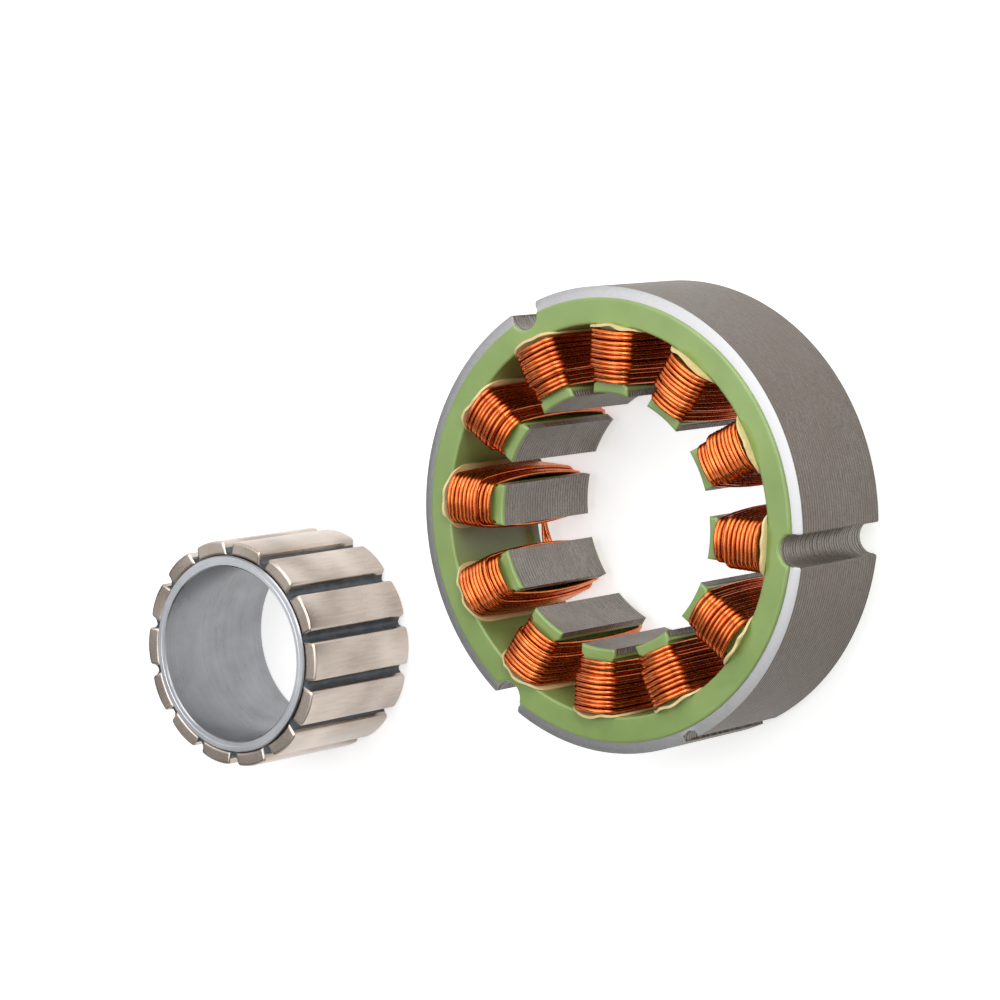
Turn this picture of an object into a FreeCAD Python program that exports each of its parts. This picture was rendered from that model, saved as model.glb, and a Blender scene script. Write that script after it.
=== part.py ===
import FreeCAD, Part
import math
import os

# Frameless motor, millimetres, +Z up.
# The stator is a laminated steel ring with twelve wound teeth that point inwards.
# The rotor is a steel ring that carries fourteen magnets, and it stands beside the stator.
# Both rings stand on their ends, with their axes upright.
# The origin is on the stator's axis, at the middle of its steel stack.

# Stator stack
STATOR_OD = 56.0
SHEET_T = 0.5
SHEETS = 33
YOKE_T = 4.1
EDGE_BEVEL_W = 0.8
EDGE_BEVEL_H = 0.25

# Teeth
TEETH = 12
TOOTH_L = 8.55
TOOTH_W = 3.5
TIP_W = 5.03
TIP_SIDE_H = 0.75
TIP_SLOPE_H = 0.25
ROOT_FILLET = 0.6

# Grooves in the outside of the stack
KEY_W = 3.8
KEY_DEPTH = 2.8
KEY_ANGLES = (90.0, 210.0, 330.0)
MARK_R = 1.0
MARK_ANGLE = 270.0

# Powder coat
COAT_T = 0.4
COAT_SETBACK = 1.35
COAT_EDGE = 0.3
COAT_KEY_GAP = 0.15

# Coils
WIRE_D = 0.58
SINGLE_TURNS = 3
RIDGE_DEPTH = 0.16
COIL_GAP = 0.06
CROWN_LIFT = 0.6
CORNER_R = 0.8
CROWN_R = 5.0

# Slot paper
PAPER_T = 0.2
PAPER_GAP = 0.06
PAPER_OVERHANG = 1.45
PAPER_SPAN = 8.4
PAPER_CORNER_R = 3.0

# Wires that join the two coils of a pair, behind the stack
LINKS_PER_PAIR = 2
LINK_SETBACK = 1
LINK_GAP = 0.05
LINK_BOW = 0.3

# Rotor
AIR_GAP = 0.55
MAGNETS = 14
MAGNET_T = 1.9
MAGNET_SPACE = 0.74
MAGNET_SETBACK = 0.2
MAGNET_CROWN_R = 9.0
MAGNET_EDGE_R = 0.4
MAGNET_END_R = 0.2
BOND_T = 0.05
RING_T = 1.35
RING_OVERHANG = 1.25
RING_BEVEL = 0.2
GLUE_H = 0.9
GLUE_DIP = 0.35
GLUE_GAP = 0.03
GLUE_SETBACK = 0.25

# Where the rotor stands, measured from the stator's axis
ROTOR_X = -64.0
ROTOR_Y = 8.0

STATOR_R = STATOR_OD / 2
STACK_H = SHEET_T * SHEETS
HALF_STACK = STACK_H / 2
HALF_COAT = HALF_STACK + COAT_T
YOKE_R = STATOR_R - YOKE_T
BORE_R = YOKE_R - TOOTH_L
COAT_R = STATOR_R - COAT_SETBACK
PAPER_R = YOKE_R - COAT_T - PAPER_GAP
MAGNET_R = BORE_R - AIR_GAP
RING_R = MAGNET_R - MAGNET_T - BOND_T
RING_BORE_R = RING_R - RING_T
RING_L = STACK_H + 2 * RING_OVERHANG
MAGNET_L = RING_L - 2 * MAGNET_SETBACK
MAGNET_W = 2 * (RING_R + BOND_T) * math.sin(math.pi / MAGNETS) - MAGNET_SPACE
TIP_CORNER_X = math.sqrt(BORE_R ** 2 - (TIP_W / 2) ** 2)

# The coil's inner outline: straight sides, rounded corners and an arched crown
COIL_START = TIP_CORNER_X + TIP_SIDE_H + TIP_SLOPE_H + COAT_T + COIL_GAP
COIL_HALF_W = TOOTH_W / 2 + COAT_T + COIL_GAP
CORNER_Y = COIL_HALF_W - CORNER_R
CROWN_SWING = math.degrees(math.asin(CORNER_Y / (CROWN_R - CORNER_R)))
CROWN_Z = HALF_COAT + CROWN_LIFT - CROWN_R
CORNER_Z = CROWN_Z + (CROWN_R - CORNER_R) * math.cos(math.radians(CROWN_SWING))
LAYER_TOPS = (WIRE_D, WIRE_D * (1 + math.sqrt(3) / 2))

# The coil has as many turns along the tooth as fit before the slot paper
COIL_END = math.sqrt((PAPER_R - PAPER_T) ** 2 - (COIL_HALF_W + LAYER_TOPS[1]) ** 2)
TURNS = int((COIL_END - COIL_START) / WIRE_D)
REST_Z = -(HALF_COAT + CROWN_LIFT + LAYER_TOPS[1])
UP = FreeCAD.Vector(0, 0, 1)
ORIGIN = FreeCAD.Vector(0, 0, 0)
RADIAL = FreeCAD.Vector(1, 0, 0)
REACH = 2 * STATOR_OD


def vec(x, y, z=0.0):
    return FreeCAD.Vector(x, y, z)


def turned(shape, degrees):
    copy = shape.copy()
    copy.rotate(ORIGIN, UP, degrees)
    return copy


def moved(shape, offset):
    copy = shape.copy()
    copy.translate(offset)
    return copy


def cylinder(radius, low, high):
    return Part.makeCylinder(radius, high - low, vec(0, 0, low))


def ring(outer, inner, low, high):
    return cylinder(outer, low, high).cut(cylinder(inner, -REACH, REACH))


def prism(points, low, high):
    outline = Part.makePolygon([vec(x, y, low) for x, y in points + points[:1]])
    return Part.Face(outline).extrude(vec(0, 0, high - low))


def all_round(shape, count):
    return [turned(shape, 360.0 * i / count) for i in range(count)]


def joined(shapes):
    return shapes[0].multiFuse(shapes[1:]).removeSplitter()


def export(name, shape):
    shape.exportStep("parts/" + name + ".step")


def tooth_outline(grown):
    """Half sections of one tooth: the tip's sides stay where they are when the rest is grown."""
    half_tip = TIP_W / 2
    half_body = TOOTH_W / 2 + grown
    side_x = TIP_CORNER_X + TIP_SIDE_H + grown
    body_x = side_x + TIP_SLOPE_H
    root_x = YOKE_R + COAT_T
    upper = [(TIP_CORNER_X - TIP_SIDE_H, half_tip), (side_x, half_tip), (body_x, half_body), (root_x, half_body)]
    lower = [(x, -y) for x, y in reversed(upper)]
    return upper + lower


def star(outer_r, yoke_r, grown, half_height):
    """The yoke and its teeth, with rounded slot corners, before the bore is cut."""
    body = ring(outer_r, yoke_r, -half_height, half_height)
    tooth = prism(tooth_outline(grown), -half_height, half_height)
    body = joined([body] + all_round(tooth, TEETH))
    fillet_r = ROOT_FILLET - grown
    corner_y = TOOTH_W / 2 + grown
    corner_x = math.sqrt(yoke_r ** 2 - corner_y ** 2)
    corner_r = math.hypot(corner_x, corner_y)
    roots = []
    for edge in body.Edges:
        ends = [v.Point for v in edge.Vertexes]
        if len(ends) != 2 or abs(ends[0].x - ends[1].x) + abs(ends[0].y - ends[1].y) > 1e-6:
            continue
        if abs(math.hypot(ends[0].x, ends[0].y) - corner_r) < 1e-4:
            roots.append(edge)
    body = body.makeFillet(fillet_r, roots)
    return body.cut(cylinder(BORE_R, -REACH, REACH))


def key_cutter(extra):
    """A round-bottomed slot along the axis, open to the outside."""
    radius = KEY_W / 2 + extra
    centre = STATOR_R - KEY_DEPTH + KEY_W / 2
    round_end = Part.makeCylinder(radius, 2 * REACH, vec(centre, 0, -REACH))
    mouth = Part.makeBox(KEY_DEPTH + 2 * radius, 2 * radius, 2 * REACH, vec(centre, -radius, -REACH))
    return round_end.fuse(mouth)


def mark_cutter():
    return Part.makeCylinder(MARK_R, 2 * REACH, vec(STATOR_R, 0, -REACH))


def make_core():
    body = star(STATOR_R, YOKE_R, 0.0, HALF_STACK)
    low = HALF_STACK - EDGE_BEVEL_H
    cone_height = EDGE_BEVEL_H * STATOR_R / EDGE_BEVEL_W
    cone = Part.makeCone(STATOR_R, 0, cone_height, vec(0, 0, low))
    cone_below = cone.mirror(ORIGIN, UP)
    envelope = joined([cylinder(STATOR_R, -low, low), cone, cone_below])
    body = body.common(envelope)
    for angle in KEY_ANGLES:
        body = body.cut(turned(key_cutter(0.0), angle))
    return body.cut(turned(mark_cutter(), MARK_ANGLE))


def make_coat(core_blank):
    body = star(COAT_R, YOKE_R - COAT_T, COAT_T, HALF_COAT)
    for angle in KEY_ANGLES:
        body = body.cut(turned(key_cutter(COAT_KEY_GAP), angle))
    ends = [e for e in body.Edges if min(abs(abs(v.Z) - HALF_COAT) for v in e.Vertexes) < 1e-6
            and abs(e.BoundBox.ZLength) < 1e-6]
    body = body.makeFillet(COAT_EDGE, ends)
    return body.cut(core_blank)


def coil_section(inner):
    """One side of the coil, cut along the tooth: x runs outwards, and z is its thickness."""
    x = COIL_START
    edges = [Part.LineSegment(vec(x, 0, inner), vec(x, 0, inner + LAYER_TOPS[0] - RIDGE_DEPTH))]
    for i in range(TURNS):
        layer = 0 if i < SINGLE_TURNS else 1
        top = inner + LAYER_TOPS[layer]
        valley = top - RIDGE_DEPTH
        if i == SINGLE_TURNS:
            edges.append(Part.LineSegment(vec(x, 0, inner + LAYER_TOPS[0] - RIDGE_DEPTH), vec(x, 0, valley)))
        edges.append(Part.Arc(vec(x, 0, valley), vec(x + WIRE_D / 2, 0, top), vec(x + WIRE_D, 0, valley)))
        x += WIRE_D
    edges.append(Part.LineSegment(vec(x, 0, valley), vec(x, 0, inner)))
    edges.append(Part.LineSegment(vec(x, 0, inner), vec(COIL_START, 0, inner)))
    return Part.Face(Part.Wire([e.toShape() for e in edges]))


def make_coil():
    crown = moved(coil_section(CROWN_R), vec(0, 0, CROWN_Z))
    crown.rotate(vec(0, 0, CROWN_Z), RADIAL, -CROWN_SWING)
    crown = crown.revolve(vec(0, 0, CROWN_Z), RADIAL, 2 * CROWN_SWING)
    pivot = vec(0, CORNER_Y, CORNER_Z)
    corner = moved(coil_section(CORNER_R), pivot)
    corner.rotate(pivot, RADIAL, -90)
    corner = corner.revolve(pivot, RADIAL, 90 - CROWN_SWING)
    side = coil_section(COIL_HALF_W)
    side.rotate(ORIGIN, RADIAL, -90)
    side.translate(vec(0, 0, -CORNER_Z))
    side = side.extrude(vec(0, 0, 2 * CORNER_Z))
    sideways = vec(0, 1, 0)
    tops = [crown, corner, corner.mirror(ORIGIN, sideways)]
    bottoms = [piece.mirror(ORIGIN, UP) for piece in tops]
    return joined([side, side.mirror(ORIGIN, sideways)] + tops + bottoms)


def make_paper():
    half_h = HALF_COAT + PAPER_OVERHANG
    sheet = ring(PAPER_R, PAPER_R - PAPER_T, -half_h, half_h)
    window = Part.makeBox(STATOR_R, PAPER_SPAN, 2 * half_h, vec(0, -PAPER_SPAN / 2, -half_h))
    corners = [e for e in window.Edges if e.BoundBox.XLength > PAPER_R]
    sheet = sheet.common(window.makeFillet(PAPER_CORNER_R, corners))
    hole_w = TOOTH_W + 2 * (ROOT_FILLET + COIL_GAP)
    hole_h = 2 * (HALF_COAT + PAPER_GAP)
    hole = Part.makeBox(STATOR_R, hole_w, hole_h, vec(0, -hole_w / 2, -hole_h / 2))
    return sheet.cut(hole)


def make_link(turn):
    """One wire from the side of a coil to the side of the next, bowed a little outwards."""
    along = COIL_START + (turn + 0.5) * WIRE_D
    across = COIL_HALF_W + LAYER_TOPS[1] + LINK_GAP
    half_pitch = math.pi / TEETH
    x = along * math.cos(half_pitch) + across * math.sin(half_pitch)
    y = along * math.sin(half_pitch) - across * math.cos(half_pitch)
    bow = Part.Arc(vec(x, -y, -CORNER_Z), vec(x + LINK_BOW, 0, -CORNER_Z), vec(x, y, -CORNER_Z)).toShape()
    section = Part.Wire([Part.makeCircle(WIRE_D / 2, vec(x, -y, -CORNER_Z), bow.tangentAt(bow.FirstParameter))])
    return Part.Wire([bow]).makePipeShell([section], True, False)


def make_ring():
    blank = ring(RING_R, RING_BORE_R, -RING_L / 2, RING_L / 2)
    edges = [e for e in blank.Edges if abs(e.BoundBox.ZLength) < 1e-6]
    return blank.makeChamfer(RING_BEVEL, edges)


def magnet_blank(grown, hollow_r):
    """A loaf: flat sides, a domed back and a hollow face."""
    half_w = MAGNET_W / 2 + grown
    block = Part.makeBox(MAGNET_R, 2 * half_w, MAGNET_L, vec(0, -half_w, -MAGNET_L / 2))
    dome = Part.makeCylinder(MAGNET_CROWN_R, MAGNET_L, vec(MAGNET_R - MAGNET_CROWN_R, 0, -MAGNET_L / 2))
    return block.common(dome).cut(cylinder(hollow_r, -RING_L, RING_L))


def make_magnet():
    blank = magnet_blank(0.0, RING_R + BOND_T)
    long_edges = [e for e in blank.Edges if e.BoundBox.ZLength > MAGNET_L / 2
                  and e.BoundBox.XMin > RING_R + BOND_T + MAGNET_EDGE_R / 2]
    rounded = blank.makeFillet(MAGNET_EDGE_R, long_edges)
    ends = [e for e in rounded.Edges if e.BoundBox.ZLength < 1e-6]
    return rounded.makeFillet(MAGNET_END_R, ends)


def make_glue():
    half_l = MAGNET_L / 2 - GLUE_SETBACK
    band = ring(RING_R + GLUE_H, RING_R, -half_l, half_l)
    half_pitch = math.pi / MAGNETS
    wedge_y = REACH * math.tan(half_pitch)
    wedge = prism([(0, 0), (REACH, -wedge_y), (REACH, wedge_y)], -RING_L, RING_L)
    strip = band.common(wedge)
    for side in (-1, 1):
        strip = strip.cut(turned(magnet_blank(GLUE_GAP, RING_BORE_R), side * 180.0 / MAGNETS))
    gutter_r = MAGNET_W / 4
    gutter_x = RING_R + GLUE_H - GLUE_DIP + gutter_r
    gutter = Part.makeCylinder(gutter_r, 2 * RING_L, vec(gutter_x, 0, -RING_L))
    return turned(strip.cut(gutter), 180.0 / MAGNETS)


os.makedirs("parts", exist_ok=True)

core = make_core()
export("stator_core", core)

steel_blank = star(STATOR_R, YOKE_R, 0.0, HALF_STACK)
export("insulation_coat", make_coat(steel_blank))

coil = make_coil()
paper = make_paper()
for i in range(TEETH):
    angle = 360.0 * i / TEETH
    number = "%02d" % (i + 1)
    export("coil_" + number, turned(coil, angle))
    export("slot_paper_" + number, turned(paper, angle))

pair_pitch = 720.0 / TEETH
first_pair = 540.0 / TEETH
link_turns = range(TURNS - LINK_SETBACK - LINKS_PER_PAIR, TURNS - LINK_SETBACK)
for i in range(TEETH // 2):
    bridge = [turned(make_link(turn), i * pair_pitch + first_pair) for turn in link_turns]
    export("coil_link_" + str(i + 1), Part.makeCompound(bridge))

rotor_place = vec(ROTOR_X, ROTOR_Y, REST_Z + RING_L / 2)
export("rotor_ring", moved(make_ring(), rotor_place))
magnet = make_magnet()
for i in range(MAGNETS):
    placed = moved(turned(magnet, 360.0 * i / MAGNETS), rotor_place)
    export("magnet_%02d" % (i + 1), placed)
glue = Part.makeCompound(all_round(make_glue(), MAGNETS))
export("magnet_adhesive", moved(glue, rotor_place))
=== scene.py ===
import math
import random

import bmesh
import bpy
from mathutils import Matrix, Vector, noise


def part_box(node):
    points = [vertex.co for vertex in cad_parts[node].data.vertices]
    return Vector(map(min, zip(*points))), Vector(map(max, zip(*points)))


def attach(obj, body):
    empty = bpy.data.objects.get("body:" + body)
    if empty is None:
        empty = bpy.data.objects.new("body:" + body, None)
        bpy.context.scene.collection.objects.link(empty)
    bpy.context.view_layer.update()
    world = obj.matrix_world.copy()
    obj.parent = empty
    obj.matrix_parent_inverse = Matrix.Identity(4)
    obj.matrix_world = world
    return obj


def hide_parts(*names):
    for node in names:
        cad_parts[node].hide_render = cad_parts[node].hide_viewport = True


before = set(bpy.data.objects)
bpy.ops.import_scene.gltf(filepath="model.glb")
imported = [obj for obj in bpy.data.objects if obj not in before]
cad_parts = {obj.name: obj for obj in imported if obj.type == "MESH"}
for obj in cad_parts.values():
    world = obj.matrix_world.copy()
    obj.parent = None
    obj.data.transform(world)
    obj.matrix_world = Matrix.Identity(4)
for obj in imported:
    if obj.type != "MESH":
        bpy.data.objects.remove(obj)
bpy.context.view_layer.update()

MM = 0.001
TAU = 2 * math.pi

# Stator, in millimetres, as all sizes here are
STATOR_R = 28.0
SHEET_T = 0.5
SHEETS = 33
HALF_STACK = SHEET_T * SHEETS / 2
YOKE_R = 23.9
BORE_R = 15.35
BEVEL_W = 0.8
BEVEL_H = 0.25
TEETH = 12
TOOTH_W = 3.5
TIP_W = 5.03
TIP_SIDE_H = 0.75
TIP_SLOPE_H = 0.25
ROOT_FILLET = 0.6
COAT_FILLET = ROOT_FILLET - 0.15
KEY_W = 3.8
KEY_DEPTH = 2.8
KEY_ANGLES = (90.0, 210.0, 330.0)
KEY_LIP = 0.3
MARK_R = 1.0
MARK_ANGLE = 270.0
COAT_T = 0.4
COAT_R = 26.65
COAT_KEY_GAP = 0.05
COAT_EDGE_R = 0.28
COAT_RIM = 0.08
COAT_HIDDEN = 0.12
COAT_HIDDEN_H = 0.1
COAT_STEP_H = 0.02
HALF_COAT = HALF_STACK + COAT_T
TIP_X = math.sqrt(BORE_R ** 2 - (TIP_W / 2) ** 2)

# Coils
WIRE_D = 0.58
STRAND_R = 0.275
COIL_GAP = 0.06
SINGLE_TURNS = 3
TURNS = 11
NESTING = 0.02
CROWN_LIFT = 0.6
CORNER_R = 1.2
CROWN_R = 5.0
COIL_HALF_W = TOOTH_W / 2 + COAT_T + COIL_GAP
CORNER_Y = COIL_HALF_W - CORNER_R
CROWN_SWING = math.asin(CORNER_Y / (CROWN_R - CORNER_R))
CROWN_Z = HALF_COAT + CROWN_LIFT - CROWN_R
CORNER_Z = CROWN_Z + (CROWN_R - CORNER_R) * math.cos(CROWN_SWING)
COIL_START = TIP_X + TIP_SIDE_H + TIP_SLOPE_H + COAT_T + COIL_GAP
COIL_TOP = -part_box("coil_01")[0].z / MM

# Link wires, between the two coils of a pair
LINK_PITCH = 60.0
LINK_ANGLE = 45.0
LINK_TURN = TURNS - 3
LINK_TUCK = 0.3
LINK_SWELL = 0.3
LINK_DROOP = (0.05, 0.2)
LINK_TWIST = (0.10, 0.2)
LINK_STEPS = 18

# Slot paper
PAPER_GAP = 0.06
PAPER_R = YOKE_R - COAT_T - PAPER_GAP
PAPER_T = 0.2
PAPER_SPAN = 8.0
PAPER_CORNER_R = 3.0
PAPER_TOP = HALF_COAT + 1.45
PAPER_STRAIGHT = 5.0
HOLE_MARGIN = 0.45
HOLE_TOP = HALF_COAT + PAPER_GAP
COLUMN_CROWDING = 1.6
EDGE_DROP = 0.2
EDGE_WAVE = 0.5
LEAN_START = 0.4
LEAN_RISE = 1.4
LEAN_OUT = 0.10
LEAN_FOLD = 0.5
PAPER_FLARE = 0.12

# Rotor, placed from the frame
RING_LOW, RING_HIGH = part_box("rotor_ring")
ROTOR_X = (RING_LOW.x + RING_HIGH.x) / 2 / MM
ROTOR_Y = (RING_LOW.y + RING_HIGH.y) / 2 / MM
ROTOR_Z = (RING_LOW.z + RING_HIGH.z) / 2 / MM
RING_L = (RING_HIGH.z - RING_LOW.z) / MM
RING_BORE_R = 11.5
RING_R = 12.85
RING_CHAMFER = 0.15
RING_CHAMFER_H = 0.16
RING_FLAT = 0.2
RING_LINE = 0.62
LINE_HALF_W = 0.04
LINE_DEPTH = 0.025
MAGNETS = 14
MAGNET_R = 14.8
MAGNET_W = 5.0
MAGNET_L = 18.6
MAGNET_CROWN_R = 9.0
MAGNET_EDGE_R = 0.5
SHOULDER_TURN = 0.09
MAGNET_END_R = 0.32
MAGNET_END_RIM = 0.1
MAGNET_TILT = 0.004
BOND_T = 0.05
GLUE_H = 0.9
GLUE_END_GAP = 0.2
GLUE_OVERLAP = 0.04
GLUE_DIP = 0.55
GLUE_LUMPS = 0.12
GLUE_ROUGH = 0.10
GLUE_SUNK = 0.03

# The lower coil heads stand on the floor
FLOOR_Z = -COIL_TOP

# Sharper corners than this limit are moved no further by an offset
MITRE_LIMIT = 0.25

# Seeds of the random draws
CORE_SEED = 17
COIL_SEED = 400
LINK_SEED = 70
PAPER_SEED = 900
MAGNET_SEED = 50


def polar(radius, angle):
    return (radius * math.cos(angle), radius * math.sin(angle))


def arc(cx, cy, radius, start, end, count, ends=(True, True)):
    """Points along an arc, in order, with or without its two ends."""
    first = 0 if ends[0] else 1
    last = count if ends[1] else count - 1
    return [(cx + radius * math.cos(start + (end - start) * i / count),
             cy + radius * math.sin(start + (end - start) * i / count)) for i in range(first, last + 1)]


def turn_points(points, degrees):
    c = math.cos(math.radians(degrees))
    s = math.sin(math.radians(degrees))
    return [(x * c - y * s, x * s + y * c) for x, y in points]


def mirrored(points):
    return [(x, -y) for x, y in reversed(points)]


def normals(loop):
    """Mitred normals of a closed loop, to the left of its direction."""
    out = []
    n = len(loop)
    for i in range(n):
        ax, ay = loop[i - 1]
        bx, by = loop[i]
        cx, cy = loop[(i + 1) % n]
        first = Vector((-(by - ay), bx - ax)).normalized()
        second = Vector((-(cy - by), cx - bx)).normalized()
        both = first + second
        out.append(both / max(MITRE_LIMIT, 1 + first.dot(second)))
    return out


def offset_loop(loop, norms, amounts):
    """Moves each point of a loop along its normal by one amount, or by its own."""
    if not isinstance(amounts, list):
        amounts = [amounts] * len(loop)
    return [(x + n.x * a, y + n.y * a) for (x, y), n, a in zip(loop, norms, amounts)]


def new_object(name, bm, body, materials, sharp):
    """An object from a finished mesh, with edges sharp above an angle in degrees."""
    mesh = bpy.data.meshes.new(name)
    bm.normal_update()
    bm.to_mesh(mesh)
    bm.free()
    mesh.shade_smooth()
    mesh.set_sharp_from_angle(angle=math.radians(sharp))
    obj = bpy.data.objects.new(name, mesh)
    bpy.context.scene.collection.objects.link(obj)
    for material in materials:
        mesh.materials.append(material)
    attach(obj, body)
    return obj


def rounded_edge(radius, count):
    """Steps over a rounded edge, from the side to the top: how far in, and how far below the top."""
    angles = [math.pi / 2 * i / count for i in range(count + 1)]
    return [(radius * (1 - math.cos(a)), radius * (1 - math.sin(a))) for a in angles]


def add_ring(bm, loop, z):
    """The points of a loop at one height, as vertices."""
    return [bm.verts.new((x * MM, y * MM, z * MM)) for x, y in loop]


def join_rings(bm, lower, upper, material=0, flip=False):
    """A band of faces between two rings of points."""
    n = len(lower)
    faces = []
    for i in range(n):
        j = (i + 1) % n
        quad = [lower[i], lower[j], upper[j], upper[i]]
        if flip:
            quad.reverse()
        face = bm.faces.new(quad)
        face.material_index = material
        faces.append(face)
    return faces


def fill_between(bm, outer, inner, up, material=0):
    """A flat face with a hole, between an outer and an inner ring of points."""
    edges = []
    for loop in (outer, inner):
        for i in range(len(loop)):
            pair = (loop[i], loop[(i + 1) % len(loop)])
            edges.append(bm.edges.get(pair) or bm.edges.new(pair))
    made = bmesh.ops.triangle_fill(bm, use_beauty=True, use_dissolve=False, edges=edges)
    for face in made["geom"]:
        if isinstance(face, bmesh.types.BMFace):
            face.material_index = material
            face.normal_update()
            if (face.normal.z > 0) != up:
                face.normal_flip()


# The stack's outlines

def tooth_side(yoke_r, grown):
    """Half of a slot and its tooth, from the middle of the slot to the middle of the tooth.

    The second list says of each point whether the steel is bare there."""
    half_w = TOOTH_W / 2 + grown
    fillet = ROOT_FILLET if grown == 0 else COAT_FILLET
    fillet_x = math.sqrt((yoke_r - fillet) ** 2 - (half_w + fillet) ** 2)
    fillet_y = -(half_w + fillet)
    root = math.atan2(fillet_y, fillet_x)
    side_x = TIP_X + TIP_SIDE_H + grown
    covered = arc(0, 0, yoke_r, -math.pi / TEETH, root, 7, (True, False))
    covered += arc(fillet_x, fillet_y, fillet, root, math.pi / 2, 4)
    neck_x = side_x + TIP_SLOPE_H
    covered += [(fillet_x + (neck_x - fillet_x) * t, -half_w) for t in (0.33, 0.67)]
    covered += [(neck_x, -half_w), (side_x, -TIP_W / 2)]
    half_tip = math.asin(TIP_W / 2 / BORE_R)
    bare = [(TIP_X + TIP_SIDE_H / 2, -TIP_W / 2)] + arc(0, 0, BORE_R, -half_tip, 0.0, 6, (True, False))
    return covered + bare, [False] * len(covered) + [True] * len(bare)


def inner_outline(yoke_r, grown):
    """The slots and teeth all round, on a yoke radius, with the teeth grown by a coat's thickness."""
    half, bare = tooth_side(yoke_r, grown)
    tooth = half + [(BORE_R, 0.0)] + mirrored(half)[:-1]
    marks = bare + [True] + list(reversed(bare))[:-1]
    loop = []
    for i in range(TEETH):
        loop += turn_points(tooth, 360.0 * i / TEETH)
    return loop, marks * TEETH


def key_outline():
    """One groove across the outside, from its lower lip to its upper lip, at angle zero."""
    half = KEY_W / 2
    centre = STATOR_R - KEY_DEPTH + half
    lip_x = math.sqrt((STATOR_R - KEY_LIP) ** 2 - (half + KEY_LIP) ** 2)
    lip_turn = math.atan2(half + KEY_LIP, lip_x)
    lower_lip = arc(lip_x, -(half + KEY_LIP), KEY_LIP, -lip_turn, math.pi / 2, 5)
    bottom = arc(centre, 0, half, -math.pi / 2, -3 * math.pi / 2, 14)
    return lower_lip + bottom + mirrored(lower_lip)


def groove_on_circle(cx, groove_r, circle_r, count):
    """A round groove of radius groove_r about (cx, 0), where it bites into a circle."""
    x = (circle_r ** 2 + cx ** 2 - groove_r ** 2) / (2 * cx)
    y = math.sqrt(circle_r ** 2 - x ** 2)
    start = math.atan2(-y, x - cx)
    end = -start - TAU
    return arc(cx, 0, groove_r, start, end, count)


def outline_with_grooves(radius, grooves, step=1.0):
    """A circle with grooves cut into it: grooves holds (angle, points at angle zero)."""
    spans = []
    for angle, points in grooves:
        half = math.degrees(math.atan2(points[-1][1], points[-1][0]))
        spans.append((angle - half, angle + half, turn_points(points, angle)))
    spans.sort(key=lambda span: span[0])
    loop = []
    for i, (_, high, points) in enumerate(spans):
        loop += points
        next_low = spans[(i + 1) % len(spans)][0]
        while next_low < high:
            next_low += 360.0
        count = max(2, round((next_low - high) / step))
        loop += arc(0, 0, radius, math.radians(high), math.radians(next_low), count, (False, False))
    return loop


def core_outer():
    """The outside of the stack, with its three grooves and the small one."""
    grooves = [(angle, key_outline()) for angle in KEY_ANGLES]
    grooves.append((MARK_ANGLE, groove_on_circle(STATOR_R, MARK_R, STATOR_R, 10)))
    return outline_with_grooves(STATOR_R, grooves)


def coat_outer():
    """The outside of the coat on an end face, kept a little clear of the stack's grooves."""
    centre = STATOR_R - KEY_DEPTH + KEY_W / 2
    radius = KEY_W / 2 + COAT_KEY_GAP
    grooves = [(angle, groove_on_circle(centre, radius, COAT_R, 18)) for angle in KEY_ANGLES]
    return outline_with_grooves(COAT_R, grooves, 2.0)


# Materials

def shader(name, **values):
    """A material with one principled shader, and its sockets set to the values given."""
    material = bpy.data.materials.new(name)
    material.use_nodes = True
    tree = material.node_tree
    principled = tree.nodes["Principled BSDF"]
    for key, value in values.items():
        principled.inputs[key.replace("_", " ")].default_value = value
    return material, tree, principled


def node(tree, kind, inputs=None, **settings):
    """A node whose inputs are given as sockets to link or as plain values."""
    made = tree.nodes.new(kind)
    for key, value in settings.items():
        setattr(made, key, value)
    for key, value in (inputs or {}).items():
        if hasattr(value, "is_linked"):
            tree.links.new(value, made.inputs[key])
        else:
            made.inputs[key].default_value = value
    return made


def object_coordinates(tree):
    return node(tree, "ShaderNodeTexCoord").outputs["Object"]


def noise_fac(tree, vector, scale, detail=3.0, roughness=0.55):
    """Noise, with its scale in cycles per metre."""
    made = node(tree, "ShaderNodeTexNoise", {"Vector": vector, "Scale": scale, "Detail": detail,
                                             "Roughness": roughness})
    return made.outputs["Fac"]


def stretched(tree, vector, scale):
    return node(tree, "ShaderNodeMapping", {"Vector": vector, "Scale": scale}).outputs["Vector"]


def ramp(tree, fac, *stops):
    """A colour ramp through stops of (position, colour)."""
    made = node(tree, "ShaderNodeValToRGB", {"Fac": fac})
    elements = made.color_ramp.elements
    while len(elements) < len(stops):
        elements.new(0.5)
    for element, (position, colour) in zip(elements, stops):
        element.position = position
        element.color = (*colour, 1.0)
    return made.outputs["Color"]


def spread(tree, fac, low, high, from_low=0.3, from_high=0.7):
    """Spreads a narrow range of a value over a range from low to high."""
    made = node(tree, "ShaderNodeMapRange", {"Value": fac, "From Min": from_low, "From Max": from_high,
                                             "To Min": low, "To Max": high})
    return made.outputs["Result"]


def mix(tree, fac, a, b):
    """Colour a where fac is 0 and colour b where it is 1; b is a plain colour."""
    made = node(tree, "ShaderNodeMix", {"Factor": fac}, data_type="RGBA")
    colour_a, colour_b = [socket for socket in made.inputs if socket.type == "RGBA"]
    tree.links.new(a, colour_a)
    colour_b.default_value = (*b, 1.0)
    return next(socket for socket in made.outputs if socket.type == "RGBA")


def maths(tree, operation, a, b=0.0):
    """One step of arithmetic on sockets or plain numbers."""
    made = node(tree, "ShaderNodeMath", operation=operation)
    for i, value in enumerate((a, b)):
        if hasattr(value, "is_linked"):
            tree.links.new(value, made.inputs[i])
        else:
            made.inputs[i].default_value = value
    return made.outputs[0]


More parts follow.
